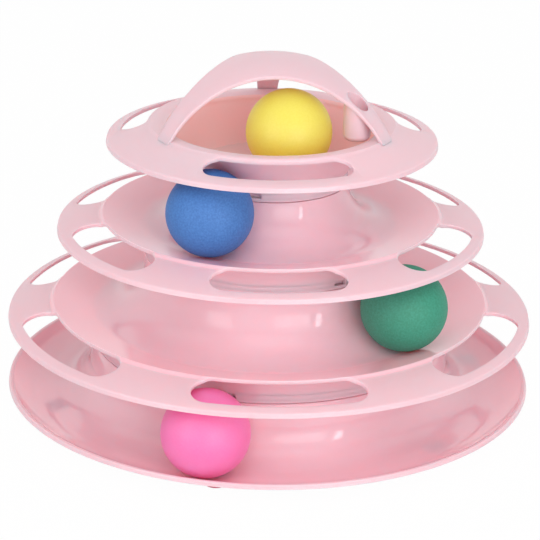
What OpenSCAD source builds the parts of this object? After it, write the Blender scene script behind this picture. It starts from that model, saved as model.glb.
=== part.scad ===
// Cat ball track toy: four stacked levels with rolling balls under a three-legged dome handle.
// Millimetres, +Z up. The origin is on the table, under the centre of the tower.
// The front slots face -Y. Every level is a thin moulded shell, revolved from its section.

/* [Balls] */
// Diameter of each ball
ball_d = 40; // [36:0.5:42]
// Wall of the hollow balls
ball_wall = 1.4; // [0.8:0.1:3]
// Running gap between a ball and the floor of its track
ball_gap = 0.25; // [0.15:0.05:0.5]
// How much wider than the ball the cove of a track is
cove_play = 1.6; // [1:0.1:3]

/* [Shells] */
// Wall of the levels
wall = 1.8; // [1.4:0.1:2.1]
// Drop of the lip below the corner of a rim
lip_h = 2.2; // [1.8:0.1:4]
// Thickness of the lip
lip_t = 1.3; // [1:0.1:1.8]
// How far the foot of the lip stands out past the corner
lip_flare = 0.35; // [0:0.05:0.8]
// Rounding along the corner of a rim
rim_round = 0.8; // [0.4:0.1:1]

/* [Base tray] */
// How much wider the base hub is where its cove ends than at its shoulder
base_draft = 2.4; // [1:0.1:4]
// How far outside the middle of the lower track the shoulder of the base hub is
base_top_out = 2.4; // [1:0.1:4]
// How much smaller than the ball the cove at the foot of the base hub is
base_cove_less = 4; // [3:0.5:6]
// Gap between a ball on the base floor and the foot of the hub
base_ball_play = 0.2; // [0.2:0.1:1]
// How far the base rim stands out beyond the rim of the lower track
base_rim_out = 0.6; // [0:0.1:2]
// Flat width of the base track outside its middle
base_flat = 0.5; // [0.2:0.1:2]
// Height of the base rim above the base floor
base_rim_h = 6.4; // [5:0.1:9]
// Width of the land along the top of the base rim
base_rim_w = 1.8; // [1.4:0.1:2.6]

/* [Track levels] */
// How far outside the middle of the middle track the lower level's hub is
lower_hub_out = 2.3; // [1:0.1:4]
// Radius of the middle level's hub
middle_hub_r = 36.1; // [35:0.1:38]
// Distance from the middle of a track's cove out to its rim
track_reach = 43.3; // [42:0.1:46]
// Height of the cove's floor above the rim
track_rise = 1.4; // [1:0.1:3]
// Distance from the rim in to the middle of the crest bead
crest_in = 21.5; // [20.8:0.1:23]
// Height of the crest above the rim
crest_h = 6.1; // [5.6:0.1:7.5]
// Radius of the crest bead
bead_r = 1.2; // [0.9:0.1:1.6]
// How far the outer flange is bowed above a straight line
flange_crown = 0.44; // [0:0.02:0.8]
// Height from the foot of a level's skirt to its cove floor
skirt_h = 15.1; // [13:0.1:18]
// How much further apart than a ball the base floor and the lower floor are
lower_spare = 1.3; // [0.9:0.1:6]
// How much further apart than a ball the lower floor and the middle floor are
middle_spare = 3; // [1:0.1:8]
// How much shorter than a ball is high the middle hub is
neck_less = 19.6; // [18:0.1:20.5]

/* [Paw slots] */
// Distance from the rim in to the outer edge of a track slot
slot_out = 4.8; // [4:0.1:7]
// How far outside the middle of the crest bead the inner edge of a track slot is
slot_land = 0.2; // [0.1:0.1:5]
// Angle that a track slot spans, round ends included
slot_deg = 40; // [30:1:50]
// Distance from the rim in to the outer edge of a top slot
top_slot_out = 6.1; // [5:0.1:9]
// How far outside the top tray's crest the inner edge of a top slot is
top_slot_land = 0.6; // [0.1:0.1:5]
// Angle that a top slot spans, round ends included
top_slot_deg = 60.5; // [40:0.5:75]

/* [Top tray] */
// Height of the dish floor above the foot of its skirt
dish_skirt_h = 7.4; // [6.6:0.1:9]
// How far the dish floor ends inside the skirt's outer face
dish_corner = 1.5; // [1:0.1:3]
// How far the dish's mouth lies inside the middle of the track below
mouth_in = 9; // [8:0.1:10]
// Rounding of the dish's mouth
mouth_roll = 2.5; // [1.5:0.1:3]
// Width from the dish's mouth out to the edge of the flat crest
mouth_land = 9.3; // [8.6:0.1:11]
// Width of the flat crest that the handle stands on
top_crest_w = 3.7; // [3.4:0.1:4.2]
// Width of the flange outside the crest
top_flange_w = 19.5; // [18.8:0.1:24]
// Height of the top rim above the dish floor
top_rim_h = 13.1; // [12.6:0.1:15]
// Height of the crest above the top rim
top_crest_h = 7.3; // [7:0.1:8]
// Rise of the step from the flange up to the crest
top_step_h = 1.4; // [1:0.1:1.8]

/* [Twist couplings] */
// Gap between a skirt and the shoulder under it
seat_gap = 0.3; // [0.1:0.05:0.6]
// Running gap between a spigot with its lugs and the skirt round it
coupling_gap = 0.3; // [0.2:0.05:0.4]
// Depth of the ledges inside a skirt
ledge_d = 1.4; // [1.2:0.1:1.8]
// Height of the ledges
ledge_h = 1.4; // [1:0.1:1.8]
// Step from the foot of a skirt up to its ledges, and from these up to their windows
ledge_step = 0.2; // [0.1:0.05:0.3]
// Width of the windows above the ledges
window_w = 5.5; // [4:0.1:7]
// Height of the windows
window_h = 2.6; // [2:0.1:2.8]
// Width of the lugs on the spigots
lug_w = 6.4; // [5:0.1:7]
// Width of the stop rib beside each ledge
stop_w = 1.4; // [1:0.1:2]
// Direction of the first coupling of the base and of the middle level
coupling_deg = 255.5; // [240:0.5:270]
// Direction of the first coupling of the lower level
lower_coupling_deg = 299.5; // [285:0.5:310]

/* [Handle] */
// Height of the dome above the crest
dome_h = 31.45; // [30:0.05:36]
// Wall of the dome
dome_wall = 1.7; // [1.6:0.1:1.9]
// How far the feet of the legs reach down below the crest
leg_drop = 1.2; // [1:0.1:1.3]
// Distance from the axis to the middle of a dome window's edge
gap_in = 22.4; // [20:0.1:25]
// Width of a leg at its foot
leg_foot_w = 9.5; // [9:0.1:12]
// Width of the tab that plugs into the crest
tab_w = 8; // [6:0.1:9]
// Thickness of the tab
tab_t = 1.2; // [1:0.1:1.2]
// Length of the tab below the crest
tab_h = 4.4; // [4:0.1:6]
// Gap round a leg and its tab in their slot
tab_gap = 0.15; // [0.1:0.05:0.2]
// Reach of the snap barb on a tab
barb_d = 0.7; // [0.4:0.1:0.9]

/* [Teaser socket] */
// Bore of the socket for a teaser wand
socket_bore_d = 9.8; // [8:0.1:10.4]
// Wall of the socket
socket_wall = 1.45; // [1.2:0.05:1.8]
// Distance of the socket's axis inside the dome's foot circle
socket_in = 15.9; // [15.4:0.1:17]
// Depth of the socket's foot below the crest
socket_drop = 2.1; // [0:0.1:3]
// Rounding at the socket's foot
socket_round = 3; // [2:0.1:4]

/* [Feet] */
// Diameter of a foot pad
pad_d = 11.5; // [9:0.5:13]
// Height of a foot pad
pad_h = 2.8; // [2:0.1:4]
// Bevel round the lower edge of a foot pad
pad_bevel = 0.6; // [0.3:0.1:1]
// Distance from the middle of the base track in to the foot pads
pad_in = 1.9; // [0:0.1:4]
// Direction of the first foot pad
pad_deg = 255; // [240:1:270]
// Margin of the boss above a foot pad
boss_margin = 0.6; // [0.4:0.1:1]

/* [Hidden] */
$fn = 120;
cut = 2 * wall;
ball_r = ball_d / 2;
pad_count = 6;
coupling_count = 3;
leg_count = 3;
track_slot_count = 6;

// Radii of the hubs, the balls' orbits and the rims
cove_r = ball_r + cove_play;
slot_in = crest_in - slot_land;
top_slot_in = top_flange_w - top_slot_land;
base_cove_r = ball_r - base_cove_less;
middle_orbit_r = middle_hub_r + cove_r;
middle_rim_r = middle_orbit_r + track_reach;
lower_hub_r = middle_orbit_r + lower_hub_out;
lower_orbit_r = lower_hub_r + cove_r;
lower_rim_r = lower_orbit_r + track_reach;
base_top_r = lower_orbit_r + base_top_out;
base_hub_r = base_top_r + base_draft;
base_orbit_r = base_hub_r + ball_r + base_ball_play;
base_rim_r = lower_rim_r + base_rim_out;
mouth_r = middle_orbit_r - mouth_in;
top_crest_r = mouth_r + mouth_land;
top_rim_r = top_crest_r + top_flange_w;
top_foot_r = top_crest_r + top_step_h;
dome_r = top_foot_r;
socket_r = dome_r - socket_in;
socket_out_r = socket_bore_d / 2 + socket_wall;
dish_orbit_r = socket_r - socket_out_r - ball_r - ball_gap;

// Heights above the table
base_floor_z = pad_h + wall;
base_rim_z = base_floor_z + base_rim_h;
lower_floor_z = base_floor_z + ball_d + lower_spare;
lower_foot_z = lower_floor_z - skirt_h;
base_shoulder_z = lower_foot_z - seat_gap;
middle_floor_z = lower_floor_z + ball_d + middle_spare;
middle_foot_z = middle_floor_z - skirt_h;
lower_shoulder_z = middle_foot_z - seat_gap;
middle_shoulder_z = middle_floor_z + ball_d - neck_less;
top_foot_z = middle_shoulder_z + seat_gap;
dish_floor_z = top_foot_z + dish_skirt_h;
top_rim_z = dish_floor_z + top_rim_h;
crest_z = top_rim_z + top_crest_h;
dome_foot_z = crest_z - top_step_h;

// Directions in which the balls rest, and of the legs, slots and socket
pink_deg = 252.6;
green_deg = 316.1;
blue_deg = 238.8;
yellow_deg = 294.3;
front_deg = 270;
leg_deg = 90;
socket_deg = 330;

// Shape of the dome and of the windows between its legs
dome_powers_share = [2.12, 0.82];
gap_power_share = 1.87;
dome_rise = dome_h + top_step_h;
dome_steps = 28;
gap_steps = 24;

// Points on an arc about c, from angle a to angle b
function arc(c, r, a, b, n) =
    [for (i = [0 : n]) let (t = a + (b - a) * i / n) c + r * [cos(t), sin(t)]];

// Points of a curve that leaves a towards b and reaches c from b
function bend(a, b, c, n) =
    [for (i = [0 : n]) let (t = i / n) (1 - t) * (1 - t) * a + 2 * t * (1 - t) * b + t * t * c];

// A path moved sideways by d, to the left of its direction
function beside(path, d) =
    [for (i = [0 : len(path) - 1])
        let (v = path[min(i + 1, len(path) - 1)] - path[max(i - 1, 0)])
        path[i] + d * [-v[1], v[0]] / norm(v)];

// Outer edge of a rim whose top falls outwards by slope: lip foot, flared face, round corner
function rim_edge(r, z, slope) =
    let (corner = [r - rim_round, z + rim_round * (tan(slope) - 1 / cos(slope))])
    concat([[r + lip_flare, z - lip_h]], arc(corner, rim_round, 0, 90 - slope, 4));

// Spigot on a hub's shoulder: over the shoulder, up, over and down inside the hub
function spigot_r(hub_r) = hub_r - wall - ledge_d - coupling_gap;
function window_top(foot_z) = foot_z + ledge_h + window_h;
function spigot_edge(hub_r, shoulder_z) =
    let (r = spigot_r(hub_r), top = window_top(shoulder_z + seat_gap) - coupling_gap)
    [[r, shoulder_z], [r, top], [r - wall, top], [r - wall, shoulder_z - wall]];

// Height of a track's flange at distance u in from the rim: a straight rise with a crown
flange_in = crest_in - bead_r - 2 * lip_flare;
flange_h = crest_h - bead_r;
flange_slope = atan2(flange_h, flange_in);
function flange_z(u) = flange_h * u / flange_in + 4 * flange_crown * u / flange_in * (1 - u / flange_in);

// Height above a cove's floor of the middle of its wall, at distance d from its lowest point
function cove_rise(d) = cove_r - sqrt(pow(cove_r + wall / 2, 2) - d * d);

// Section of a track level: rim, bowed flange, crest bead, straight bank, cove and hub
function track_section(hub_r, rim_r, floor_z, shoulder_z) =
    let (
        rim_z = floor_z - track_rise,
        bead = [rim_r - crest_in, rim_z + crest_h - bead_r],
        cove = [hub_r + cove_r, floor_z + cove_r],
        lean = bead - cove,
        bank = asin((bead_r + cove_r) / norm(lean)) + atan2(lean[1], lean[0]),
        down = [sin(bank), -cos(bank)],
        first_in = lip_t + lip_flare,
        flange = [for (i = [0 : 8]) let (u = first_in + (flange_in - first_in) * i / 8)
            [rim_r - u, rim_z + flange_z(u)]],
        flange_low = [for (i = [8 : -1 : 0]) flange[i] - [0, wall / cos(flange_slope)]],
        last = 180 + asin(max(0, cove[1] - shoulder_z) / cove_r),
        inner_last = 180 + asin(max(0, cove[1] - shoulder_z + wall) / (cove_r + wall)),
        tall = shoulder_z - wall > cove[1]
    )
    concat(
        rim_edge(rim_r, rim_z, atan2(flange[0][1] - rim_z, first_in)),
        flange,
        arc(bead, bead_r, 55, 90 + bank, 4),
        arc(cove, cove_r, 270 + bank, last, 26),
        tall ? [[hub_r, shoulder_z]] : [],
        spigot_edge(hub_r, shoulder_z),
        tall ? [[hub_r - wall, shoulder_z - wall]] : [],
        arc(cove, cove_r + wall, inner_last, 270 + bank, 26),
        [bead + (wall - bead_r) * down],
        flange_low,
        [[rim_r + lip_flare - lip_t, rim_z - lip_h]]
    );

// Section of the base tray: rim land, flared wall, flat track, cove and drawn-in hub
base_flare_in = base_orbit_r + base_flat;
base_flare_w = base_rim_r - base_rim_w - base_flare_in;
base_flare_h = base_rim_h - rim_round / 3;
base_flare_r = (base_flare_w * base_flare_w + base_flare_h * base_flare_h) / (2 * base_flare_h);
function base_section() =
    let (
        flare = [base_flare_in, base_floor_z + base_flare_r],
        cove = [base_hub_r + base_cove_r, base_floor_z + base_cove_r],
        low_z = base_rim_z - lip_h,
        flare_deg = asin(base_flare_w / base_flare_r),
        low_deg = acos((flare[1] - low_z) / (base_flare_r + wall))
    )
    concat(
        rim_edge(base_rim_r, base_rim_z, 0),
        arc(flare, base_flare_r, 270 + flare_deg, 270, 14),
        arc(cove, base_cove_r, 270, 180, 24),
        [[base_top_r, base_shoulder_z]],
        spigot_edge(base_top_r, base_shoulder_z),
        [[base_top_r - wall, base_shoulder_z - wall]],
        arc(cove, base_cove_r + wall, 180, 270, 24),
        arc(flare, base_flare_r + wall, 270, 270 + low_deg, 14)
    );

// Section of the top tray: rim, straight flange, step, flat crest, rolled mouth and deep dish
function top_section() =
    let (
        flange_top = top_crest_h - top_step_h,
        slope = atan2(flange_top, top_rim_r - top_foot_r),
        drop = wall / cos(slope),
        corner = top_step_h / 2,
        roll = [mouth_r + mouth_roll, crest_z - top_step_h / 2 - mouth_roll],
        crest_in_r = top_crest_r - top_crest_w,
        dish = bend([mouth_r, roll[1]], [mouth_r - mouth_roll / 6, roll[1] - top_step_h * 2.4],
            [middle_hub_r - dish_corner, dish_floor_z], 16),
        dish_low = beside(dish, wall)
    )
    concat(
        rim_edge(top_rim_r, top_rim_z, slope),
        [[top_foot_r, top_rim_z + flange_top]],
        arc([top_crest_r - corner, crest_z - corner], corner, 40, 90, 3),
        bend([crest_in_r, crest_z], [roll[0] + mouth_roll / 2, crest_z],
            roll + mouth_roll * [cos(100), sin(100)], 5),
        arc(roll, mouth_roll, 110, 170, 6),
        dish,
        [[0, dish_floor_z], [0, dish_floor_z - wall]],
        [[middle_hub_r - wall, dish_floor_z - wall]],
        [for (i = [16 : -1 : 0]) dish_low[i]],
        [[roll[0], crest_z - wall - corner / 3], [crest_in_r, crest_z - wall]],
        [[top_crest_r - corner, crest_z - wall], [top_foot_r, top_rim_z + flange_top - drop]],
        [[top_rim_r - lip_t - lip_flare, top_rim_z + (lip_t + lip_flare) * tan(slope) - drop]],
        [[top_rim_r + lip_flare - lip_t, top_rim_z - lip_h]]
    );

// Outer curve of the dome, from its top to its foot, for a foot radius r and a rise h
function dome_curve(r, h) =
    [for (i = [0 : dome_steps])
        let (s = sin(90 * i / dome_steps))
        [r * s, dome_foot_z + h * pow(1 - pow(s, dome_powers_share[0]), dome_powers_share[1])]];

module revolve(points) {
    rotate_extrude()
        polygon(points);
}

// A block about the axis that spans deg degrees, centred on direction a
module ring_block(r0, r1, z0, z1, deg, a) {
    rotate([0, 0, a - deg / 2])
        rotate_extrude(angle = deg)
            polygon([[r0, z0], [r1, z0], [r1, z1], [r0, z1]]);
}

module around(count, first) {
    for (i = [0 : count - 1])
        rotate([0, 0, first + i * 360 / count])
            children();
}

// Angle that width w spans at radius r
function span(w, r) = 2 * asin(w / 2 / r);

// Skirt under a level, with the inward ledges, windows and stop ribs of its couplings
module skirt(r, foot_z, top_z, first) {
    inner = r - wall;
    ledge_r = inner - ledge_d;
    stop_deg = span(lug_w, inner) / 2 + span(stop_w + 2 * coupling_gap, inner) / 2;
    difference() {
        revolve([[inner, foot_z], [r, foot_z], [r, top_z], [inner, top_z]]);
        around(coupling_count, first)
            translate([ledge_r, -window_w / 2, foot_z + ledge_h + ledge_step])
                cube([cut + ledge_d, window_w, window_h - ledge_step]);
    }
    around(coupling_count, first) {
        ring_block(ledge_r, inner + wall / 2, foot_z + ledge_step, foot_z + ledge_h,
            span(window_w, inner), 0);
        ring_block(ledge_r, inner + wall / 2, foot_z + ledge_step, window_top(foot_z),
            span(stop_w, inner), stop_deg);
    }
}

// Outward lugs on a spigot, which turn in above the ledges of the skirt
module lugs(hub_r, shoulder_z, first) {
    foot_z = shoulder_z + seat_gap;
    around(coupling_count, first)
        ring_block(spigot_r(hub_r) - wall / 2, hub_r - wall - coupling_gap,
            foot_z + ledge_h + coupling_gap, window_top(foot_z) - coupling_gap,
            span(lug_w, hub_r - wall), 0);
}

// Plan of a curved slot with round ends, between two radii
module slot_plan(in_r, out_r, deg) {
    mid = (in_r + out_r) / 2;
    half = (out_r - in_r) / 2;
    turn = deg - span(2 * half, mid);
    far = out_r / cos(turn / 2) + cut;
    intersection() {
        difference() {
            circle(out_r);
            circle(in_r);
        }
        polygon([[0, 0], far * [cos(turn / 2), -sin(turn / 2)], far * [cos(turn / 2), sin(turn / 2)]]);
    }
    for (side = [-1, 1])
        rotate(side * turn / 2)
            translate([mid, 0])
                circle(half);
}

module slot_cutter(in_r, in_z, out_r, out_z, deg) {
    translate([0, 0, out_z - cut])
        linear_extrude(height = in_z - out_z + 2 * cut)
            slot_plan(in_r, out_r, deg);
}

module track_slots(rim_r, rim_z) {
    around(track_slot_count, front_deg)
        slot_cutter(rim_r - slot_in, rim_z + flange_z(slot_in),
            rim_r - slot_out, rim_z + flange_z(slot_out), slot_deg);
}

// Track level: shell with hub and skirt, six slots and the couplings of both ends
module track_level(hub_r, rim_r, floor_z, shoulder_z, skirt_r, foot_z, first, skirt_first) {
    difference() {
        revolve(track_section(hub_r, rim_r, floor_z, shoulder_z));
        track_slots(rim_r, floor_z - track_rise);
    }
    skirt(skirt_r, foot_z, floor_z + cove_rise(skirt_r - wall / 2 - hub_r - cove_r), skirt_first);
    lugs(hub_r, shoulder_z, first);
}

// Place of the foot pads on the base
module at_pad(i) {
    rotate([0, 0, pad_deg + i * 360 / pad_count])
        translate([base_orbit_r - pad_in, 0, 0])
            children();
}

module base_tray() {
    color([0.94, 0.74, 0.78]) {
        revolve(base_section());
        lugs(base_top_r, base_shoulder_z, coupling_deg);
        for (i = [0 : pad_count - 1])
            at_pad(i)
                translate([0, 0, pad_h])
                    cylinder(h = wall / 2, d = pad_d + 2 * boss_margin);
    }
}

// Rubber pad stuck under the base
module foot_pad(i) {
    color([0.85, 0.45, 0.55])
        at_pad(i)
            rotate_extrude()
                polygon([[0, 0], [pad_d / 2 - pad_bevel, 0], [pad_d / 2, pad_bevel],
                    [pad_d / 2, pad_h], [0, pad_h]]);
}

module lower_track() {
    color([0.95, 0.76, 0.8])
        track_level(lower_hub_r, lower_rim_r, lower_floor_z, lower_shoulder_z,
            base_top_r, lower_foot_z, lower_coupling_deg, coupling_deg);
}

module middle_track() {
    color([0.95, 0.76, 0.8])
        track_level(middle_hub_r, middle_rim_r, middle_floor_z, middle_shoulder_z,
            lower_hub_r, middle_foot_z, coupling_deg, lower_coupling_deg);
}

// Notch in the crest for the foot of a leg, and the slot in its floor for the leg's tab
module leg_seat() {
    seat_in = dome_r - 1.6 * dome_wall - tab_gap;
    seat_w = leg_foot_w + 6 * tab_gap;
    translate([seat_in, -seat_w / 2, crest_z - leg_drop])
        cube([2 * cut, seat_w, cut]);
    translate([dome_r - dome_wall - tab_gap, -tab_w / 2 - tab_gap, crest_z - cut])
        cube([tab_t + 2 * tab_gap, tab_w + 2 * tab_gap, cut]);
}

module top_tray() {
    step_h = top_crest_h - top_step_h;
    rise = step_h / (top_rim_r - top_foot_r);
    color([0.95, 0.76, 0.8]) {
        difference() {
            revolve(top_section());
            around(leg_count, front_deg)
                slot_cutter(top_rim_r - top_slot_in, top_rim_z + rise * top_slot_in,
                    top_rim_r - top_slot_out, top_rim_z + rise * top_slot_out, top_slot_deg);
            around(leg_count, leg_deg)
                leg_seat();
        }
        skirt(middle_hub_r, top_foot_z, dish_floor_z - wall / 2, coupling_deg);
    }
}

// One window of the dome, seen from above: a curved edge across it, straight sides at the feet
module dome_gap() {
    foot_deg = 180 / leg_count - asin(leg_foot_w / 2 / dome_r);
    foot = dome_r * [cos(foot_deg), sin(foot_deg)];
    out = foot + dome_r * [cos(180 / leg_count), sin(180 / leg_count)];
    edge = [for (i = [-gap_steps : gap_steps]) let (t = i / gap_steps)
        [gap_in + (foot[0] - gap_in) * pow(abs(t), gap_power_share), foot[1] * t]];
    translate([0, 0, crest_z - cut])
        linear_extrude(height = dome_h + 2 * cut)
            polygon(concat(edge, [out, [out[0], -out[1]]]));
}

// Tab under a leg, with a barb that snaps under the crest
module tab() {
    in_r = dome_r - dome_wall;
    top_z = crest_z - leg_drop / 2;
    barb_z = crest_z - wall - 2 * tab_gap;
    translate([0, tab_w / 2, 0])
        rotate([90, 0, 0])
            linear_extrude(height = tab_w)
                polygon([[in_r, top_z], [in_r, barb_z], [in_r - barb_d, barb_z],
                    [in_r, crest_z - tab_h], [in_r + tab_t, crest_z - tab_h], [in_r + tab_t, top_z]]);
}

// Blind tube for a teaser wand, under the leg that it opens through
module socket_tube() {
    foot_z = crest_z - socket_drop;
    corner = [socket_out_r - socket_round, foot_z + socket_round];
    intersection() {
        rotate([0, 0, socket_deg])
            translate([socket_r, 0, 0])
                rotate_extrude()
                    polygon(concat([[0, foot_z]], arc(corner, socket_round, 270, 360, 8),
                        [[socket_out_r, crest_z + dome_h], [0, crest_z + dome_h]]));
        revolve(concat(dome_curve(dome_r, dome_rise), [[dome_r, foot_z - cut], [0, foot_z - cut]]));
    }
}

module dome_handle() {
    color([0.95, 0.76, 0.8]) {
        difference() {
            union() {
                difference() {
                    revolve(concat(dome_curve(dome_r, dome_rise), [for (i = [dome_steps : -1 : 0])
                        dome_curve(dome_r - dome_wall, dome_rise - dome_wall)[i]]));
                    around(leg_count, front_deg)
                        dome_gap();
                    translate([0, 0, crest_z - leg_drop - cut])
                        cylinder(h = cut, r = top_rim_r);
                }
                socket_tube();
            }
            rotate([0, 0, socket_deg])
                translate([socket_r, 0, crest_z - socket_drop + socket_wall])
                    cylinder(h = dome_h, d = socket_bore_d);
        }
        around(leg_count, leg_deg)
            tab();
    }
}

// Hollow ball at rest on the floor of its track
module ball(orbit_r, floor_z, a) {
    rotate([0, 0, a])
        translate([orbit_r, 0, floor_z + ball_gap + ball_r])
            difference() {
                sphere(ball_r);
                sphere(ball_r - ball_wall);
            }
}

module pink_ball() {
    color([1, 0.45, 0.69])
        ball(base_orbit_r, base_floor_z, pink_deg);
}

module green_ball() {
    color([0.2, 0.6, 0.48])
        ball(lower_orbit_r, lower_floor_z, green_deg);
}

module blue_ball() {
    color([0.28, 0.48, 0.75])
        ball(middle_orbit_r, middle_floor_z, blue_deg);
}

module yellow_ball() {
    color([0.93, 0.85, 0.35])
        ball(dish_orbit_r, dish_floor_z, yellow_deg);
}

base_tray();
foot_pad(0);  // foot_pad_1
foot_pad(1);  // foot_pad_2
foot_pad(2);  // foot_pad_3
foot_pad(3);  // foot_pad_4
foot_pad(4);  // foot_pad_5
foot_pad(5);  // foot_pad_6
lower_track();
middle_track();
top_tray();
dome_handle();
pink_ball();
green_ball();
blue_ball();
yellow_ball();
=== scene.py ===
import math

import bmesh
import bpy
import numpy as np
from mathutils import Matrix, Vector


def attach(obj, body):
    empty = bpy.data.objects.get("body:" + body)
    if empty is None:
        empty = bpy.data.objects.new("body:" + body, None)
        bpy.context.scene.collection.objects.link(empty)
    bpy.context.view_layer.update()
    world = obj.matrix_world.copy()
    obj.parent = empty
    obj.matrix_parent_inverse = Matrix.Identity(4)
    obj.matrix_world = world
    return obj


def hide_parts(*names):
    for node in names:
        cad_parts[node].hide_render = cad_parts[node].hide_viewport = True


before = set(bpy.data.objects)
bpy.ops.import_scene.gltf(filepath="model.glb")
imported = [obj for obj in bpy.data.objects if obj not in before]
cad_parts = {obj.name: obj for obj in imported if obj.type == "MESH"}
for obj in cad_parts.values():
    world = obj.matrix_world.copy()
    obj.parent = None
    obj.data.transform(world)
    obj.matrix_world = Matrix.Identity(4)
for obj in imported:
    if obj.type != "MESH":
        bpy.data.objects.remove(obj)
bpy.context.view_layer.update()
scene = bpy.context.scene
scene.view_settings.view_transform = "Standard"

# Camera: a long lens a metre away, a little to the left of the front slots. It looks down
# at the tower from 20.75 degrees and is held a degree off level.
camera_aim = Vector((0.00013, -0.00001, 0.06309))
camera_distance = 1.0001
camera_azimuth = math.radians(-2.8)
camera_height = math.radians(20.75)
camera_roll = math.radians(1.08)
towards = Vector((
    math.sin(camera_azimuth) * math.cos(camera_height),
    -math.cos(camera_azimuth) * math.cos(camera_height),
    math.sin(camera_height),
))
across = Vector((math.cos(camera_azimuth), math.sin(camera_azimuth), 0.0))
above = towards.cross(across)
camera_right = across * math.cos(camera_roll) + above * math.sin(camera_roll)
camera_up = above * math.cos(camera_roll) - across * math.sin(camera_roll)
lens = bpy.data.cameras.new("camera")
lens.lens = 138.8
lens.sensor_width = 36.0
lens.clip_end = 20.0
camera = bpy.data.objects.new("camera", lens)
camera.matrix_world = Matrix.Translation(camera_aim + camera_distance * towards) @ Matrix(
    (camera_right, camera_up, towards)).transposed().to_4x4()
scene.collection.objects.link(camera)
scene.camera = camera


# Base tray: the wide ring dish that the tower stands on, with a drawn-in hub in its middle.
# Injection-moulded polypropylene, pastel pink, 1.8 mm thick: polished where the ball rolls,
# satin on its rim. The polished part is painted a lighter pink, as painted light in place of what
# its shaded cove misses, and the satin rim a darker pink, as painted shade for the fuller light
# on it. All sections are in mm and run as (r, z) about the tower's axis.
def linear(code):
    """Linear RGBA of an sRGB hex colour."""
    values = np.array([int(code[i:i + 2], 16) / 255 for i in (1, 3, 5)])
    light = np.where(values <= 0.04045, values / 12.92, ((values + 0.055) / 1.055) ** 2.4)
    return (*light.tolist(), 1.0)


def add(tree, kind, inputs=None, **settings):
    """One shader node with its settings. An input is a value or a (node, output name) link."""
    made = tree.nodes.new(kind)
    for name, value in settings.items():
        setattr(made, name, value)
    for name, value in (inputs or {}).items():
        if isinstance(value, tuple) and isinstance(value[0], bpy.types.Node):
            tree.links.new(value[0].outputs[value[1]], made.inputs[name])
        else:
            made.inputs[name].default_value = value
    return made


def material_named(name):
    """A new empty node material and its tree."""
    made = bpy.data.materials.new(name)
    made.use_nodes = True
    made.node_tree.nodes.clear()
    return made, made.node_tree


def noise(tree, at, size_mm, detail):
    """A noise texture on object coordinates whose features are about size_mm across."""
    return add(tree, "ShaderNodeTexNoise", {
        "Vector": (at, "Object"), "Scale": 1 / (0.001 * size_mm), "Detail": detail})


def arc(centre, radius, start, end, steps):
    """Points (r, z) on an arc: the centre plus the radius turned from start to end, in degrees."""
    turn = np.radians(np.linspace(start, end, steps + 1))
    return np.column_stack((centre[0] + radius * np.cos(turn), centre[1] + radius * np.sin(turn)))


def section(*runs):
    """One open path of (r, z) points. A run is an array, which is kept as it is, or a corner
    (r, z, radius). A corner becomes a quadratic curve between two points of its edges that
    lie its radius away, or 0.3 of the shorter edge where that is less. One more point on
    either side, half as far again, holds the flats."""
    corners = np.vstack([
        np.column_stack((run, np.zeros(len(run)))) if isinstance(run, np.ndarray) else run
        for run in runs])
    points, radii = corners[:, :2], corners[:, 2]
    before = np.roll(points, 1, 0) - points
    after = np.roll(points, -1, 0) - points
    before[0] = after[-1] = (1.0, 0.0)
    to_before, to_after = np.linalg.norm(before, axis=1), np.linalg.norm(after, axis=1)
    reach = np.minimum(radii, 0.3 * np.minimum(to_before, to_after))[:, None, None]
    step = np.array([0, 0.25, 0.5, 0.75, 1])[None, :, None]
    a = (before / to_before[:, None])[:, None] * reach
    b = (after / to_after[:, None])[:, None] * reach
    bow = np.concatenate((1.5 * a, (1 - step) ** 2 * a + step ** 2 * b, 1.5 * b), 1)
    middle_only = np.arange(7)[None, :, None] == 3
    kept = np.where(reach > 0, np.ones((1, 7, 1), bool), middle_only)[..., 0]
    return (bow + points[:, None])[kept]


def cells(rows, columns, wrap):
    """Quads of a grid of points, row after row; wrap joins the last column to the first."""
    index = np.arange(rows * columns).reshape(rows, columns)
    if wrap:
        index = np.hstack((index, index[:, :1]))
    quads = (index[:-1, :-1], index[:-1, 1:], index[1:, 1:], index[1:, :-1])
    return np.stack(quads, -1).reshape(-1, 4)


def turned(path, azimuths, wrap=True):
    """A path turned about the tower's axis: x = r cos a, y = r sin a at each azimuth a."""
    r, z = path[:, :1], path[:, 1:]
    a = azimuths[None, :]
    points = np.stack((r * np.cos(a), r * np.sin(a), z + 0 * a), -1).reshape(-1, 3)
    return points, cells(len(path), len(azimuths), wrap)


def ring(path, azimuths):
    """A closed section turned all the way round: its path runs on to its own first point."""
    return turned(np.vstack((path, path[:1])), azimuths)


def turned_box(corners, azimuths):
    """A section of four corners turned part of the way round, and its two end faces."""
    points, quads = turned(np.array([*corners, corners[0]]), azimuths, wrap=False)
    n = len(azimuths)
    ends = np.array([[0, n, 2 * n, 3 * n], [n - 1, 4 * n - 1, 3 * n - 1, 2 * n - 1]])
    return points, np.vstack((quads, ends))


def block(r_low, r_high, z_low, z_high, middle, width):
    """A closed block about the axis, between two radii and two heights, that spans a width."""
    half = math.asin(width / 2 / r_high)
    azimuths = math.radians(middle) + np.linspace(-half, half, 9)
    corners = [(r_low, z_low), (r_high, z_low), (r_high, z_high), (r_low, z_high)]
    return turned_box(corners, azimuths)


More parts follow.
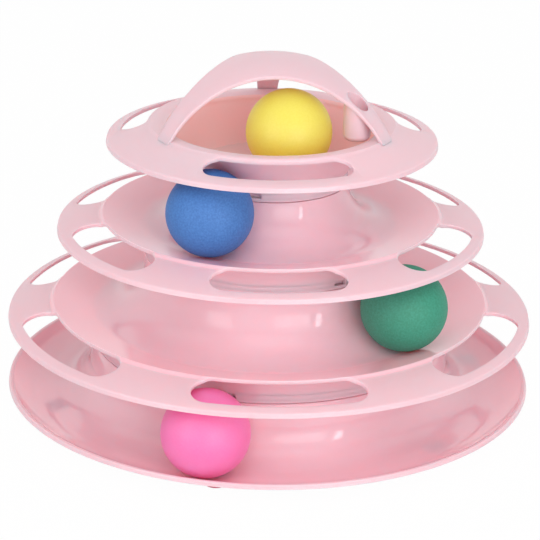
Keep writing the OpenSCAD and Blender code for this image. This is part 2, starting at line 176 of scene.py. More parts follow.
def mesh_of(name, parts, materials=()):
    """One mesh of several surfaces, welded where their edges meet, with its faces outward. A
    surface is its points in mm and its quads, and may bring its material indices as a third."""
    points = np.vstack([part[0] for part in parts]) * 0.001
    starts = np.cumsum([0] + [len(part[0]) for part in parts[:-1]])
    quads = np.vstack([part[1] + start for part, start in zip(parts, starts)])
    finish = np.concatenate([np.full(len(part[1]), (*part, 0)[2]) for part in parts])
    mesh = bpy.data.meshes.new(name)
    mesh.from_pydata(points, [], quads.tolist())
    mesh.polygons.foreach_set("material_index", finish.astype(np.int32))
    work = bmesh.new()
    work.from_mesh(mesh)
    bmesh.ops.remove_doubles(work, verts=work.verts, dist=2e-6)
    bmesh.ops.recalc_face_normals(work, faces=work.faces)
    work.to_mesh(mesh)
    work.free()
    for material in materials:
        mesh.materials.append(material)
    return mesh


def piece(mesh, body, node, sharp=50):
    """A smooth object of a mesh, with creases where faces meet at more than sharp degrees. It
    rides on the body and stands for the CAD node."""
    mesh.polygons.foreach_set("use_smooth", np.ones(len(mesh.polygons), bool))
    mesh.set_sharp_from_angle(angle=math.radians(sharp))
    made = bpy.data.objects.new(mesh.name, mesh)
    scene.collection.objects.link(made)
    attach(made, body)
    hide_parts(node)


def polypropylene(name, code, deep, low, high, wave_mm, wave):
    """Polypropylene, injection-moulded. Light sinks a few millimetres into the thin wall, comes
    through it and turns redder. Where the melt flowed apart the tint drifts towards deep, every
    60 mm or so. The skin copies its mould, polished or spark-eroded: its roughness runs from
    low to high, and its waves are wave_mm apart and wave times a twenty-fifth of that high."""
    made, tree = material_named(name)
    at = add(tree, "ShaderNodeTexCoord")
    flow = noise(tree, at, 60, 2.0)
    tint = add(tree, "ShaderNodeMix", {
        0: (flow, "Fac"), 6: linear(code), 7: linear(deep)}, data_type="RGBA")
    ripple = noise(tree, at, wave_mm, 1.0)
    bump = add(tree, "ShaderNodeBump", {
        "Height": (ripple, "Fac"), "Strength": wave, "Distance": 0.00004 * wave_mm})
    gloss = add(tree, "ShaderNodeMapRange", {
        "Value": (flow, "Fac"), "To Min": low, "To Max": high})
    skin = add(tree, "ShaderNodeBsdfPrincipled", {
        "Base Color": (tint, 2), "Roughness": (gloss, "Result"), "Normal": (bump, "Normal"),
        "IOR": 1.49, "Subsurface Weight": 0.7, "Subsurface Scale": 0.004,
        "Subsurface Radius": (1.0, 0.35, 0.35)})
    add(tree, "ShaderNodeOutputMaterial", {"Surface": (skin, "BSDF")})
    return made


# One plastic in two painted tones: the satin pink is painted darker, as painted shade where the
# flanges face the lamps, and the polished pink painted lighter, as painted light in the shaded
# coves.
pink_satin_painted_darker = polypropylene("polypropylene_moulded_satin_painted_darker", "#E9C8D0", "#E7C5CD",
    low=0.36, high=0.42, wave_mm=1.2, wave=0.1)
pink_gloss_painted_lighter = polypropylene("polypropylene_moulded_polished_painted_lighter", "#FDCAD3", "#FCC6D0",
    low=0.05, high=0.07, wave_mm=12, wave=0.03)
# Index of each finish, and of its painted tone, in a mesh that has both.
pink_plastic = [pink_satin_painted_darker, pink_gloss_painted_lighter]
SATIN_PAINTED_DARKER, GLOSS_PAINTED_LIGHTER = 0, 1

wall = 1.8
lip_height, lip_thickness, lip_flare, rim_round = 2.2, 1.3, 0.35, 0.8


def rim(radius, z, slope):
    """Lip and round corner of a rim: the foot of the lip, its flared face and the corner arc."""
    rise = math.radians(slope)
    corner = (radius - rim_round, z + rim_round * (math.tan(rise) - 1 / math.cos(rise)))
    lip_foot = (radius + lip_flare, z - lip_height, 0.35)
    return lip_foot, arc(corner, rim_round, 0, 90 - slope, 5)


# The twist couplings: three lugs on a spigot, and three windows, ledges and stop ribs in the
# skirt that goes round it. Lugs stand at one azimuth on every other level.
ledge_depth, ledge_height, ledge_step = 1.4, 1.4, 0.2
lug_width, window_width, window_rise, stop_width = 6.4, 5.5, 4.0, 1.4
coupling_gap = 0.3
lug_azimuth, other_lug_azimuth = 255.5, 299.5


def spigot_radius(hub):
    """Outer radius of a hub's spigot, which clears the ledges of the skirt round it."""
    return hub - wall - ledge_depth - coupling_gap


def spigot(hub, shoulder):
    """Corners of the spigot on a hub's shoulder, which the next level's skirt goes round."""
    r, top = spigot_radius(hub), shoulder + window_rise
    inner = r - wall
    return (r, shoulder, 0.3), (r, top, 0.3), (inner, top, 0.3), (inner, shoulder - wall, 0.3)


def lugs(hub, shoulder, first):
    """Three lugs round a spigot. They turn in above the ledges of the skirt and hold it down."""
    low = shoulder + coupling_gap + ledge_height + coupling_gap
    return [
        block(spigot_radius(hub) - wall / 2, hub - wall - coupling_gap, low,
            shoulder + window_rise, first + k, lug_width)
        for k in (0, 120, 240)]


# Its section: a flat floor, a cove up to the hub, and a flare that rises steadily to the rim.
base_rim_r, base_rim_z, base_floor_z, base_shoulder_z = 125.5, 11.0, 4.6, 30.5
base_hub_r, base_top_r, base_cove_r, base_flat_r = 86.4, 84.0, 16.0, 107.1
base_edge_in, base_edge_drop, base_satin_w = 1.8, 0.27, 2.1
flare_w = base_rim_r - base_edge_in - base_flat_r
flare_h = base_rim_z - base_floor_z - rim_round / 3
flare_r = (flare_w ** 2 + flare_h ** 2) / (2 * flare_h)
flare = (base_flat_r, base_floor_z + flare_r)
flare_turn = math.degrees(math.asin(flare_w / flare_r))
under_turn = math.degrees(math.acos((flare[1] - base_rim_z + lip_height) / (flare_r + wall)))
base_cove = (base_hub_r + base_cove_r, base_floor_z + base_cove_r)
floor_middle = np.array([((base_flat_r + base_cove[0]) / 2, base_floor_z)])
base_path = section(
    floor_middle,
    arc(base_cove, base_cove_r, 270, 180, 40),
    (base_top_r, base_shoulder_z, 0.5),
    *spigot(base_top_r, base_shoulder_z),
    (base_top_r - wall, base_shoulder_z - wall, 0.3),
    arc(base_cove, base_cove_r + wall, 180, 270, 40),
    arc(flare, flare_r + wall, 270, 270 + under_turn, 20),
    *rim(base_rim_r, base_rim_z, 0),
    (base_rim_r - base_edge_in, base_rim_z - base_edge_drop, 0.3),
    arc(flare, flare_r, 270 + flare_turn - 1, 270, 20),
    floor_middle)
round_about = np.linspace(0, 2 * math.pi, 240, endpoint=False)


def finish_and_painted_tone_inside(path, radius):
    """Material index of each quad of a turned path: polished and painted lighter inside a radius,
    satin and painted darker outside.
    """
    return np.repeat(np.where(path[:-1, 0] < radius, GLOSS_PAINTED_LIGHTER, SATIN_PAINTED_DARKER), len(round_about))


def upright(path, azimuth, orbit):
    """A small round part: its path turned about an upright line at an azimuth and orbit."""
    points, quads = turned(path, np.linspace(0, 2 * math.pi, 48, endpoint=False))
    a = math.radians(azimuth)
    return points + np.array([orbit * math.cos(a), orbit * math.sin(a), 0.0]), quads


# Six flat bosses under the base carry the pads.
pad_angles = [255, 315, 15, 75, 135, 195]
pad_orbit_r, pad_r, pad_h, pad_bevel = 104.7, 5.75, 2.8, 0.6
boss_r, boss_top = pad_r + 0.6, pad_h + 0.9
boss_path = section(
    np.array([(0, pad_h)]), (boss_r, pad_h, 0.15), (boss_r, boss_top, 0.1),
    np.array([(0, boss_top)]))
base_finish_and_painted_tone = finish_and_painted_tone_inside(base_path, base_rim_r - base_satin_w)
base_parts = [(*turned(base_path, round_about), base_finish_and_painted_tone)]
base_parts += lugs(base_top_r, base_shoulder_z, lug_azimuth)
base_parts += [upright(boss_path, azimuth, pad_orbit_r) for azimuth in pad_angles]
piece(mesh_of("base_tray_shell", base_parts, pink_plastic), "base", "base_tray")


# Foot pads: six low rubber discs with a bevelled edge, glued under the bosses of the base.
# Thermoplastic rubber, moulded matt, so that the tower doesn't slide.
def rubber(name, code):
    """Thermoplastic rubber from a spark-eroded mould: matt, with a grain of 0.8 mm."""
    made, tree = material_named(name)
    grain = noise(tree, add(tree, "ShaderNodeTexCoord"), 0.8, 3.0)
    bump = add(tree, "ShaderNodeBump", {
        "Height": (grain, "Fac"), "Strength": 0.3, "Distance": 0.0002})
    skin = add(tree, "ShaderNodeBsdfPrincipled", {
        "Base Color": linear(code), "Roughness": 0.6, "Normal": (bump, "Normal"), "IOR": 1.52})
    add(tree, "ShaderNodeOutputMaterial", {"Surface": (skin, "BSDF")})
    return made


pad_rubber = rubber("thermoplastic_rubber_moulded", "#E07890")
pad_path = section(
    np.array([(0, 0)]), (pad_r - pad_bevel, 0, 0.15), (pad_r, pad_bevel, 0.2),
    (pad_r, pad_h, 0.15), np.array([(0, pad_h)]))
for number, azimuth in enumerate(pad_angles, 1):
    disc = upright(pad_path, azimuth, pad_orbit_r)
    piece(mesh_of(f"foot_pad_{number}_disc", [disc], [pad_rubber]), "base", f"foot_pad_{number}")


# Lower track: the widest upper level, a ring track with six paw slots in its flange, a
# raised crest between flange and cove, and a skirt that twists onto the base's spigot.
# The same plastic, polished and painted lighter in and under the cove, and satin and painted
# darker on the flange.
def slot_cutter(over, under, edge, r_in, r_out, span, count):
    """Closed cutters for curved slots through a wall, between its lines (r, z) over and under it.

    In plan a slot is two arcs about the axis, joined by half circles, and its cutter's side is
    upright. Near each face of the wall it leans out as a quarter circle, which rounds the edge:
    out by edge (1 - cos phi) where it is edge (1 - sin phi) short of the face. Past the face
    it goes on for 1 mm."""
    along_points, end_points = 61, 24
    mid, half = (r_in + r_out) / 2, (r_out - r_in) / 2
    turn = math.radians(span) / 2 - math.asin(half / mid)
    beta = np.linspace(0, math.pi, end_points + 2)[1:-1]
    lean = np.concatenate((
        np.zeros(along_points), beta, np.full(along_points, math.pi), math.pi + beta))
    base = np.concatenate((
        np.linspace(-turn, turn, along_points), np.full(end_points, turn),
        np.linspace(turn, -turn, along_points), np.full(end_points, -turn)))
    half_end = end_points // 2
    outward = np.column_stack((np.cos(base + lean), np.sin(base + lean)))
    outward = np.roll(outward, half_end, 0)
    outline = np.roll(mid * np.column_stack((np.cos(base), np.sin(base))), half_end, 0)
    outline = outline + half * outward
    phi = np.radians([90, 90, 60, 30, 0, 0, 30, 60, 90, 90])[:, None]
    past = np.array([1, 0.03, 0, 0, 0, 0, 0, 0, 0.03, 1])[:, None]
    short = edge * (1 - np.sin(phi)) - past
    plan = outline[None] + edge * (1 - np.cos(phi))[..., None] * outward[None]
    r = np.hypot(plan[..., 0], plan[..., 1])
    z_low = np.interp(r[:5], *under[::-1].T) + short[:5]
    z_high = np.interp(r[5:], *over[::-1].T) - short[5:]
    rings, size = np.dstack((plan, np.vstack((z_low, z_high)))), len(outline)
    i = np.arange(size // 2 - 1)
    cap = np.stack((i, i + 1, size - 2 - i, size - 1 - i), -1)
    quads = np.vstack((cells(len(rings), size, True), cap, cap + (len(rings) - 1) * size))
    parts = []
    for k in range(count):
        a = math.radians(270 + k * 360 / count)
        spin = np.array([
            (math.cos(a), math.sin(a), 0), (-math.sin(a), math.cos(a), 0), (0, 0, 1)])
        parts.append((rings.reshape(-1, 3) @ spin, quads))
    return mesh_of("slot_cutter", parts, pink_plastic)


def carved(mesh, tools):
    """The mesh after closed meshes are joined to it (UNION) or cut from it (DIFFERENCE)."""
    meshes = (mesh, *(tool for tool, way in tools))
    holders = [bpy.data.objects.new("holder", one) for one in meshes]
    for holder in holders:
        scene.collection.objects.link(holder)
    for holder, (tool, way) in zip(holders[1:], tools):
        step = holders[0].modifiers.new(way, "BOOLEAN")
        step.operation, step.solver, step.object = way, "MANIFOLD", holder
    bpy.context.view_layer.update()
    result = holders[0].evaluated_get(bpy.context.evaluated_depsgraph_get())
    made = bpy.data.meshes.new_from_object(result)
    for holder in holders:
        bpy.data.objects.remove(holder)
    made.name = mesh.name + "_carved"
    return made


def skirt(radius, foot, top, first):
    """A plain ring under a level, with three windows, a ledge under each and a stop rib beside
    it. It is a ring below the windows, a ring above them and three posts between them."""
    inner = radius - wall
    low, high = foot + ledge_height + ledge_step, foot + window_rise
    half = math.degrees(math.asin(window_width / 2 / inner))
    to_stop = math.degrees(
        math.asin(lug_width / 2 / inner) + math.asin((stop_width / 2 + coupling_gap) / inner))
    foot_path = section(
        np.array([(inner, (foot + low) / 2)]), (inner, foot, 0.25), (radius, foot, 0.4),
        np.array([(radius, low), (inner, low)]))
    head_path = np.array([(inner, high), (radius, high), (radius, top), (inner, top)])
    post = [(inner, low), (radius, low), (radius, high), (inner, high)]
    parts = [ring(foot_path, round_about), ring(head_path, round_about)]
    rib = (inner - ledge_depth, inner + wall / 2, foot + ledge_step)
    for window in (first, first + 120, first + 240):
        between = np.radians(np.linspace(window + half, window + 120 - half, 80))
        parts.append(turned_box(post, between))
        parts.append(block(*rib, foot + ledge_height, window, window_width))
        parts.append(block(*rib, high, window + to_stop, stop_width))
    return parts


track_cove_r, track_reach, track_rise = 21.6, 43.3, 1.4
crest_in, crest_height, bead_r, flange_crown = 21.5, 6.1, 1.2, 0.44
flange_in, flange_height = crest_in - bead_r - 2 * lip_flare, crest_height - bead_r
flange_slope = math.atan2(flange_height, flange_in)
track_slot_in, track_slot_out, track_slot_span, track_slot_edge = 21.3, 4.8, 40, 0.35


def track_level(hub, floor_z, shoulder):
    """A ring track: a bowed flange with slots, a crest bead, a straight bank tangent to the
    bead and the cove, a cove of one radius, and a straight hub that ends in a spigot. The
    flange rises from its edge by its height times u, plus four times its crown times u (1 - u),
    where u runs from 0 at the edge to 1 at the bead."""
    edge_r, edge_z = hub + track_cove_r + track_reach, floor_z - track_rise

    def top(r):
        u = (edge_r - r) / flange_in
        return edge_z + flange_height * u + 4 * flange_crown * u * (1 - u)

    bead = np.array([edge_r - crest_in, edge_z + crest_height - bead_r])
    cove = np.array([hub + track_cove_r, floor_z + track_cove_r])
    lean = bead - cove
    bank = math.degrees(
        math.asin((bead_r + track_cove_r) / np.hypot(*lean)) + math.atan2(lean[1], lean[0]))
    down = np.array([math.sin(math.radians(bank)), -math.cos(math.radians(bank))])
    near_r, far_r = edge_r - flange_in, edge_r - lip_thickness - lip_flare
    flange_r = np.linspace(far_r, near_r, 13)
    flange_over = np.column_stack((flange_r, top(flange_r)))
    flange_under = flange_over - np.array([0, wall / math.cos(flange_slope)])
    bead_over, bead_under = arc(bead, bead_r, 55, 90 + bank, 8), [bead + (wall - bead_r) * down]

    # The cove runs up until it is upright, or to the shoulder where that is lower.
    cut, cut_under = max(0, cove[1] - shoulder), max(0, cove[1] - shoulder + wall)
    last = 180 + math.degrees(math.asin(cut / track_cove_r))
    last_under = 180 + math.degrees(math.asin(cut_under / (track_cove_r + wall)))
    cove_over = arc(cove, track_cove_r, 270 + bank, last, 60)
    cove_under = arc(cove, track_cove_r + wall, 270 + bank, last_under, 60)
    tall = shoulder - wall > cove[1]
    hub_over = [(hub, shoulder, 0.5)] if tall else []
    hub_under = [(hub - wall, shoulder - wall, 0.3)] if tall else []

    inside = section(
        flange_over[-1:], bead_over, cove_over, *hub_over, *spigot(hub, shoulder),
        *hub_under, cove_under[::-1], np.array(bead_under), flange_under[-1:])
    slope = math.degrees(math.atan2(top(far_r) - edge_z, lip_thickness + lip_flare))
    outside = section(
        flange_under[::-1], (edge_r + lip_flare - lip_thickness, edge_z - lip_height, 0.35),
        *rim(edge_r, edge_z, slope), flange_over)
    slots = slot_cutter(
        np.vstack((flange_over, bead_over, cove_over[:1])),
        np.vstack((flange_under, bead_under, cove_under[:1])),
        track_slot_edge, edge_r - track_slot_in, edge_r - track_slot_out, track_slot_span, 6)
    surfaces = [(*turned(inside, round_about), GLOSS_PAINTED_LIGHTER), (*turned(outside, round_about), SATIN_PAINTED_DARKER)]
    return carved(mesh_of("track_shell", surfaces, pink_plastic), [(slots, "DIFFERENCE")])


lower_hub_r, lower_foot_z, lower_floor_z, lower_shoulder_z = 60.0, 30.8, 45.9, 73.5
lower_skirt_top = 45.0
piece(track_level(lower_hub_r, lower_floor_z, lower_shoulder_z), "lower_level", "lower_track", 40)
lower_coupling = skirt(base_top_r, lower_foot_z, lower_skirt_top, lug_azimuth)
lower_coupling += lugs(lower_hub_r, lower_shoulder_z, other_lug_azimuth)
piece(mesh_of("lower_track_coupling", lower_coupling, [pink_gloss_painted_lighter]), "lower_level", "lower_track")


# Middle track: the same moulding in a smaller size, which twists onto the lower track's
# spigot in the same way.
middle_hub_r, middle_foot_z, middle_floor_z, middle_shoulder_z = 36.1, 73.8, 88.9, 109.3
middle_skirt_top = 88.0
middle_shell = track_level(middle_hub_r, middle_floor_z, middle_shoulder_z)
piece(middle_shell, "middle_level", "middle_track", 40)
middle_coupling = skirt(lower_hub_r, middle_foot_z, middle_skirt_top, other_lug_azimuth)
middle_coupling += lugs(middle_hub_r, middle_shoulder_z, lug_azimuth)
middle_coupling = mesh_of("middle_track_coupling", middle_coupling, [pink_gloss_painted_lighter])
piece(middle_coupling, "middle_level", "middle_track")


# Top tray: a deep round dish with a rolled mouth, a flat crest that the handle stands on,
# and a sloping flange with three long slots. The same plastic, on the middle track's spigot,
# satin and painted darker outside, and smooth in the dish, where it is painted warmer.
top_foot_z, top_skirt_top, dish_floor_z, dish_foot_r = 109.6, 116.1, 117.0, 34.6
mouth_r, mouth_roll, crest_z, step_height = 48.7, 2.5, 137.4, 1.4
top_rim_r, top_rim_z, top_crest_r, top_crest_height, crest_width = 77.5, 130.1, 58.0, 7.3, 3.7
top_slot_in, top_slot_out, top_slot_span, top_slot_edge = 0.6, 6.1, 60.5, 0.25
step_r, step_z = top_crest_r + step_height, top_rim_z + top_crest_height - step_height
top_slope = math.atan2(step_z - top_rim_z, top_rim_r - step_r)


def curve(a, b, c, steps):
    """Points on a quadratic curve that leaves a towards b and reaches c from b."""
    t = np.linspace(0, 1, steps + 1)[:, None]
    return (1 - t) ** 2 * np.array(a) + 2 * t * (1 - t) * np.array(b) + t ** 2 * np.array(c)


corner_r = step_height / 2
crest_in_r = top_crest_r - crest_width
roll = np.array([mouth_r + mouth_roll, crest_z - corner_r - mouth_roll])
roll_top = arc(roll, mouth_roll, 100, 100, 0)[0]
dish = curve(
    (mouth_r, roll[1]), (mouth_r - mouth_roll / 6, roll[1] - 2.4 * step_height),
    (dish_foot_r, dish_floor_z), 60)
along = np.gradient(dish, axis=0)
aside = np.column_stack((-along[:, 1], along[:, 0])) / np.linalg.norm(along, axis=1)[:, None]
dish_under = dish + wall * aside
flange_far_r = top_rim_r - lip_thickness - lip_flare
flange_far_z = top_rim_z + (top_rim_r - flange_far_r) * math.tan(top_slope)
flange = np.array([(flange_far_r, flange_far_z), (step_r, step_z)])
flange_under = flange - np.array([0, wall / math.cos(top_slope)])
crest = arc((top_crest_r - corner_r, crest_z - corner_r), corner_r, 40, 90, 5)
crest_under = np.array([(top_crest_r - corner_r, crest_z - wall), (crest_in_r, crest_z - wall)])
tray_path = section(
    flange, crest,
    curve((crest_in_r, crest_z), (roll[0] + mouth_roll / 2, crest_z), roll_top, 10),
    arc(roll, mouth_roll, 110, 170, 8), dish[:-1],
    (dish_foot_r, dish_floor_z, 0.6), np.array([(0, dish_floor_z)]))
tray_low_path = section(
    np.array([(0, dish_floor_z - wall)]), (dish_foot_r - 0.3, dish_floor_z - wall, 0),
    dish_under[::-1], (roll[0], crest_z - wall - corner_r / 3, 0.4), crest_under[::-1],
    flange_under[::-1], (top_rim_r + lip_flare - lip_thickness, top_rim_z - lip_height, 0.35),
    *rim(top_rim_r, top_rim_z, math.degrees(top_slope)), flange[:1])
# The dish is painted warmer and redder than the levels: painted bounce light from the yellow
# ball that lies in it.
pink_dish_painted_bounce = polypropylene("polypropylene_moulded_painted_bounce_warm", "#FFCBCB", "#FFC5C3",
    low=0.2, high=0.26, wave_mm=12, wave=0.03)
dish_finish_and_painted_tone = finish_and_painted_tone_inside(tray_path, mouth_r + mouth_roll / 2)
tray_parts = [(*turned(tray_path, round_about), dish_finish_and_painted_tone), turned(tray_low_path, round_about)]
top_slots = slot_cutter(
    np.vstack((flange, crest, [(crest_in_r, crest_z)])), np.vstack((flange_under, crest_under)),
    top_slot_edge, top_crest_r + top_slot_in, top_rim_r - top_slot_out, top_slot_span, 3)


def bar(corners, width, azimuth):
    """A straight bar across a ray from the axis: four corners (r, z), half a width each way."""
    a, half = math.radians(azimuth), width / 2
    ray = np.array([math.cos(a), math.sin(a), 0])
    side = np.array([-math.sin(a), math.cos(a), 0])
    flat = np.array([r * ray + np.array([0, 0, z]) for r, z in corners])
    points = np.vstack((flat - half * side, flat + half * side))
    return points, np.array([
        (0, 1, 2, 3), (7, 6, 5, 4), (0, 4, 5, 1), (1, 5, 6, 2), (2, 6, 7, 3), (3, 7, 4, 0)])


def rectangle(r_low, r_high, z_low, z_high):
    """Four corners (r, z) of a bar's section."""
    return [(r_low, z_low), (r_high, z_low), (r_high, z_high), (r_low, z_high)]


# The notches in which the handle's legs stand, and the slots for their tabs.
leg_angles = (90, 210, 330)
dome_r, dome_wall, leg_foot_w, leg_z = step_r, 1.7, 9.5, crest_z - 1.2
tab_in_r, tab_thickness, tab_width, tab_gap = dome_r - dome_wall, 1.2, 8.0, 0.15
tab_out_r = tab_in_r + tab_thickness
seat_r = dome_r - 1.6 * dome_wall - tab_gap
notch = rectangle(seat_r, dome_r + 4, leg_z, crest_z + 3)
tab_slot = rectangle(tab_in_r - tab_gap, tab_out_r + tab_gap, leg_z - 3, leg_z + 0.3)
tools = [top_slots]
for corners, width in ((notch, leg_foot_w + 6 * tab_gap), (tab_slot, tab_width + 2 * tab_gap)):
    tools.append(mesh_of("seat", [bar(corners, width, a) for a in leg_angles], [pink_satin_painted_darker]))
tray_shell = mesh_of("top_tray_shell", tray_parts, [pink_satin_painted_darker, pink_dish_painted_bounce])
tray_mesh = carved(tray_shell, [(tool, "DIFFERENCE") for tool in tools])
piece(tray_mesh, "top_level", "top_tray", 40)
top_skirt = skirt(middle_hub_r, top_foot_z, top_skirt_top, lug_azimuth)
piece(mesh_of("top_tray_skirt", top_skirt, [pink_gloss_painted_lighter]), "top_level", "top_tray")


# Dome handle: a thin round dome on three legs, clipped into the top tray's crest, with a
# blind tube for a teaser wand under one leg. The same plastic, moulded in one piece, satin, and
# painted the darker pink that stands in for the fuller light on the flanges.
dome_foot_z, dome_rise, gap_in = step_z, 32.85, 22.4
dome_power, dome_root, gap_power = 2.12, 0.82, 1.87


def dome_height(r, foot_r, rise):
    """Height of a dome of revolution: its foot plus its rise times (1 - (r / foot)^2.12)^0.82,
    cut off flat where its legs stand."""
    share = np.clip(1 - np.clip(r / foot_r, 0, 1) ** dome_power, 0, 1)
    return np.maximum(dome_foot_z + rise * share ** dome_root, leg_z)


def standing_r(foot_r, rise):
    """Radius at which a dome comes down to the floor that its legs stand on."""
    share = ((leg_z - dome_foot_z) / rise) ** (1 / dome_root)
    return foot_r * (1 - share) ** (1 / dome_power)


def dome_shell():
    """The dome between its three windows, as rays from its top out to its border. Seen from
    above a window's border bows out with the 1.87th power of the distance from its middle;
    the last border point is the foot of a leg. Rays run over the outside, round the border
    and back under the dome; their points lie at sines of even steps, close near the foot."""
    foot_half = math.asin(leg_foot_w / 2 / dome_r)
    foot_x = dome_r * math.cos(math.pi / 3 - foot_half)
    foot_y = dome_r * math.sin(math.pi / 3 - foot_half)
    t = np.linspace(0, 1, 41)[:-1]
    x, y = gap_in + (foot_x - gap_in) * t ** gap_power, foot_y * t
    edge_r, edge_a = np.hypot(x, y), math.pi / 3 - np.arctan2(y, x)
    foot_a = np.linspace(-foot_half, foot_half, 13)
    radius = np.concatenate((edge_r[1:], np.full(len(foot_a), dome_r), edge_r[::-1]))
    angle = np.concatenate((-edge_a[1:], foot_a, edge_a[::-1]))
    # The border stops a hair inside the line where each face of the dome meets the flat foot.
    radius = np.minimum(np.tile(radius, 3), standing_r(dome_r, dome_rise) - 0.008)
    angle = (math.radians(90) + angle[None] + 2 * math.pi / 3 * np.arange(3)[:, None]).reshape(-1)
    border = np.column_stack((radius * np.cos(angle), radius * np.sin(angle)))
    along = np.roll(border, -1, 0) - np.roll(border, 1, 0)
    outward = np.column_stack((along[:, 1], -along[:, 0])) / np.linalg.norm(along, axis=1)[:, None]

    # A round of up to 0.4 mm between each face and the edge of the wall.
    in_r, in_rise = dome_r - dome_wall, dome_rise - dome_wall
    thickness = dome_height(radius, dome_r, dome_rise) - dome_height(radius, in_r, in_rise)
    edge = 0.4 * np.clip(thickness / 2, 0, 1)[None, :, None]
    phi = np.radians([90, 67.5, 45, 22.5, 0])[:, None, None]
    rounded = border[None] - edge * (1 - np.cos(phi)) * outward[None]
    drop = (edge * (1 - np.sin(phi)))[..., 0]

    rays = np.sin(np.radians(np.linspace(0, 90, 37)))[:-1, None, None]
    over = np.concatenate((rays * rounded[:1], rounded))
    over_z = dome_height(np.linalg.norm(over, axis=2), dome_r, dome_rise)
    over_z[-5:] -= drop
    in_share = (standing_r(in_r, in_rise) - 0.01) / np.linalg.norm(rounded[0], axis=1)
    start = rounded[:1] * np.minimum(1, in_share)[None, :, None]
    under = np.concatenate((rays * start, start, rounded))
    under_z = dome_height(np.linalg.norm(under, axis=2), in_r, in_rise)
    under_z[-5:] += drop
    surface = np.concatenate((np.dstack((over, over_z)), np.dstack((under, under_z))[::-1]))
    return surface.reshape(-1, 3), cells(len(surface), surface.shape[1], True)


# The socket's tube ends halfway through the dome's wall, and its bore runs on through the dome.
socket_azimuth, socket_r, socket_bore_r, socket_outer_r = 330, 43.5, 4.9, 6.35
socket_foot_z, socket_round, socket_floor = 135.3, 3, 1.45
tube_end_z, bore_end_z = 200, 175
tube_corner = (socket_outer_r - socket_round, socket_foot_z + socket_round)
tube_path = np.vstack((
    [(0, socket_foot_z)], arc(tube_corner, socket_round, 270, 360, 12),
    [(r, tube_end_z) for r in (socket_outer_r, 5, 3.5, 2, 0)]))
tube_points, tube_quads = upright(tube_path, socket_azimuth, socket_r)
ends = tube_points[:, 2] > tube_end_z - 1
tube_points[ends, 2] = dome_height(
    np.linalg.norm(tube_points[ends, :2], axis=1),
    dome_r - dome_wall / 2, dome_rise - dome_wall / 2)
bore_foot_z = socket_foot_z + socket_floor
bore_path = np.array([
    (0, bore_foot_z), (socket_bore_r, bore_foot_z), (socket_bore_r, bore_end_z), (0, bore_end_z)])
tube = mesh_of("tube", [(tube_points, tube_quads)], [pink_satin_painted_darker])
bore = mesh_of("bore", [upright(bore_path, socket_azimuth, socket_r)], [pink_satin_painted_darker])
dome = mesh_of("dome_handle_shell", [dome_shell()], [pink_satin_painted_darker])
dome = carved(dome, [(tube, "UNION"), (bore, "DIFFERENCE")])
piece(dome, "top_level", "dome_handle", 40)

# A tab under each leg, with a barb that snaps below the crest.
tab_z, tab_top, barb_z = crest_z - 4.4, crest_z - 0.6, crest_z - wall - 2 * tab_gap
barb_r = tab_in_r - 0.7
tab_section = rectangle(tab_in_r, tab_out_r, tab_z, tab_top)
barb_section = [(tab_in_r, tab_z), (tab_in_r, barb_z), (barb_r, barb_z), (barb_r, barb_z - 0.01)]
tabs = [bar(corners, tab_width, a) for a in leg_angles for corners in (tab_section, barb_section)]
piece(mesh_of("dome_handle_tabs", tabs, [pink_satin_painted_darker]), "top_level", "dome_handle", 30)


# Balls: four hollow balls, blow-moulded in polyethylene, loose on their tracks. The pink and
# yellow ones are smooth and let light through; the green and blue ones are frosted.
def ball_plastic(name, code, light, grain_mm, depth, roughness, glow):
    """Polyethylene, blow-moulded. A smooth mould gives it a satin skin and a blasted one a
    frosted grain, which is drawn a little coarser than it is, so that it shows. Its colour
    is mottled between code and light, every 0.9 mm; glow is how much light it lets through."""
    made, tree = material_named(name)
    at = add(tree, "ShaderNodeTexCoord")
    cloud = noise(tree, at, 0.9, 2.0)
    spread = add(tree, "ShaderNodeMapRange", {
        "Value": (cloud, "Fac"), "From Min": 0.3, "From Max": 0.7})
    tint = add(tree, "ShaderNodeMix", {
        0: (spread, "Result"), 6: linear(code), 7: linear(light)}, data_type="RGBA")
    grain = noise(tree, at, grain_mm, 3.0)
    bump = add(tree, "ShaderNodeBump", {
        "Height": (grain, "Fac"), "Strength": depth, "Distance": 0.0003})
    skin = add(tree, "ShaderNodeBsdfPrincipled", {
        "Base Color": (tint, 2), "Roughness": roughness, "Normal": (bump, "Normal"),
        "IOR": 1.51, "Subsurface Weight": glow, "Subsurface Scale": 0.03,
        "Subsurface Radius": (1.0, 1.0, 0.8)})
    add(tree, "ShaderNodeOutputMaterial", {"Surface": (skin, "BSDF")})
    return made


ball_r, line_height, line_turn, line_tilt = 20.0, 0.03, 0.8, 62


def ball(name, orbit, z, azimuth, material):
    """A ball with the faint raised parting line of its mould, 0.03 mm high and 0.5 mm wide, on a
    tilted plane: its path is a half circle whose radius swells by a bell curve at the middle."""
    turn = np.radians(np.linspace(-90, 90, 181))
    radius = ball_r - line_height + line_height * np.exp(-(np.degrees(turn) / line_turn) ** 2)
    path = np.column_stack((radius * np.cos(turn), radius * np.sin(turn)))
    path[[0, -1], 0] = 0
    points, quads = turned(path, np.linspace(0, 2 * math.pi, 180, endpoint=False))
    tilt = math.radians(line_tilt)
    points = points @ np.array([
        (1, 0, 0), (0, math.cos(tilt), math.sin(tilt)), (0, -math.sin(tilt), math.cos(tilt))])
    a = math.radians(azimuth)
    place = np.array([orbit * math.cos(a), orbit * math.sin(a), z])
    piece(mesh_of(name + "_shell", [(points + place, quads)], [material]), name, name)


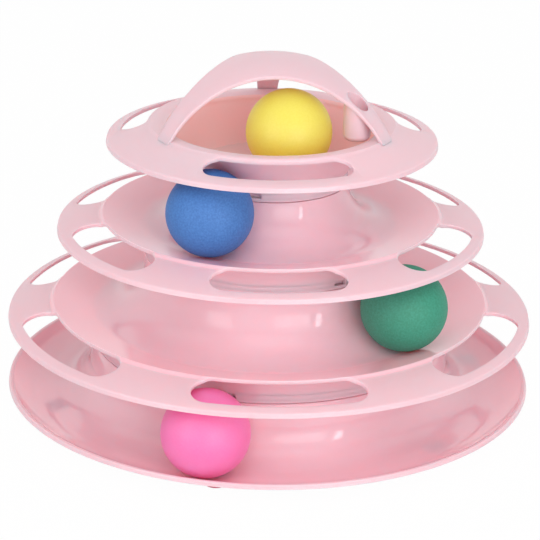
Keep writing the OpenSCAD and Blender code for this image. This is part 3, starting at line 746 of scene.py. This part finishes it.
smooth = {"grain_mm": 1.0, "depth": 0.05, "roughness": 0.5, "glow": 1.0}
frosted = {"grain_mm": 0.5, "depth": 0.35, "roughness": 0.65, "glow": 0.05}
ball("pink_ball", orbit=106.6, z=24.85, azimuth=252.6, material=ball_plastic(
    "polyethylene_blow_moulded_pink", "#FF78B2", "#FF7CB6", **smooth))
ball("green_ball", orbit=81.6, z=66.15, azimuth=316.1, material=ball_plastic(
    "polyethylene_blasted_mould_green", "#2C8468", "#36937A", **frosted))
ball("blue_ball", orbit=57.7, z=109.15, azimuth=238.8, material=ball_plastic(
    "polyethylene_blasted_mould_blue", "#376BAF", "#437BC0", **frosted))
ball("yellow_ball", orbit=16.9, z=137.25, azimuth=294.3, material=ball_plastic(
    "polyethylene_blow_moulded_yellow", "#E4D757", "#E7DB60", **smooth))


# Floor and light: a white sweep under the tower, two soft boxes and a strip in front of it
# with brighter panes in their middles, light off the studio's front wall, and a white surround.
floor_half = 6.0
floor_mesh = bpy.data.meshes.new("floor")
floor_mesh.from_pydata([
    (-floor_half, -floor_half, 0), (floor_half, -floor_half, 0),
    (floor_half, floor_half, 0), (-floor_half, floor_half, 0)], [], [(0, 1, 2, 3)])
floor = bpy.data.objects.new("floor", floor_mesh)
scene.collection.objects.link(floor)


def seen_directly(tree):
    """1 where the camera sees a thing itself, in a reflection or through a clear piece, else 0."""
    path = add(tree, "ShaderNodeLightPath")
    either = add(tree, "ShaderNodeMath", {
        0: (path, "Is Camera Ray"), 1: (path, "Is Transmission Ray")}, operation="MAXIMUM")
    return add(tree, "ShaderNodeMath", {
        0: (either, "Value"), 1: (path, "Is Glossy Ray")}, operation="MAXIMUM")


floor_paper, tree = material_named("paper_matt_white")
share = add(tree, "ShaderNodeMath", {
    0: (seen_directly(tree), "Value"), 1: 0.98}, operation="MULTIPLY")
matt = add(tree, "ShaderNodeBsdfDiffuse", {"Color": linear("#F4F2F2")})
bright = add(tree, "ShaderNodeEmission", {"Color": linear("#FFFFFF"), "Strength": 1.0})
both = add(tree, "ShaderNodeMixShader", {
    0: (share, "Value"), 1: (matt, "BSDF"), 2: (bright, "Emission")})
add(tree, "ShaderNodeOutputMaterial", {"Surface": (both, "Shader")})
floor_mesh.materials.append(floor_paper)

world = bpy.data.worlds.new("surround")
scene.world = world
world.use_nodes = True
tree = world.node_tree
tree.nodes.clear()
level = add(tree, "ShaderNodeMapRange", {
    "Value": (seen_directly(tree), "Value"), "To Min": 0.64, "To Max": 1.0})
sky = add(tree, "ShaderNodeBackground", {
    "Color": linear("#FFFFFF"), "Strength": (level, "Result")})
add(tree, "ShaderNodeOutputWorld", {"Surface": (sky, "Background")})

lamp_distance = 1.6


def softbox(name, azimuth, height, size, power, mirrored=True, lights=True):
    """An area lamp that faces the tower from an azimuth and a height in degrees. A lamp that
    isn't mirrored stands for light off the studio's walls, which gives no sharp reflection,
    and one that doesn't light is a bright pane that shows only in the polished coves."""
    lamp = bpy.data.lights.new(name, "AREA")
    lamp.shape = "RECTANGLE"
    (lamp.size, lamp.size_y), lamp.energy = size, power
    holder = bpy.data.objects.new(name, lamp)
    a, h = math.radians(azimuth), math.radians(height)
    ray = Vector((math.cos(a) * math.cos(h), math.sin(a) * math.cos(h), math.sin(h)))
    holder.location = camera_aim + lamp_distance * ray
    holder.rotation_euler = ray.to_track_quat("Z", "Y").to_euler()
    holder.visible_glossy = mirrored
    holder.visible_diffuse = lights
    scene.collection.objects.link(holder)


softbox("softbox_right", 287.2, 10.0, size=(0.86, 0.95), power=4.2)
softbox("softbox_left", 224.2, 14.0, size=(0.6, 0.9), power=2.8)
softbox("strip_right", 310.2, 12.0, size=(0.14, 0.7), power=2.0)
softbox("front_wall_light", 266.0, 48.0, size=(1.3, 1.0), power=8.8, mirrored=False)
softbox("pane_right", 287.2, 10.0, size=(0.86, 0.5), power=9.0, lights=False)
softbox("pane_left", 224.2, 14.0, size=(0.6, 0.5), power=6.0, lights=False)
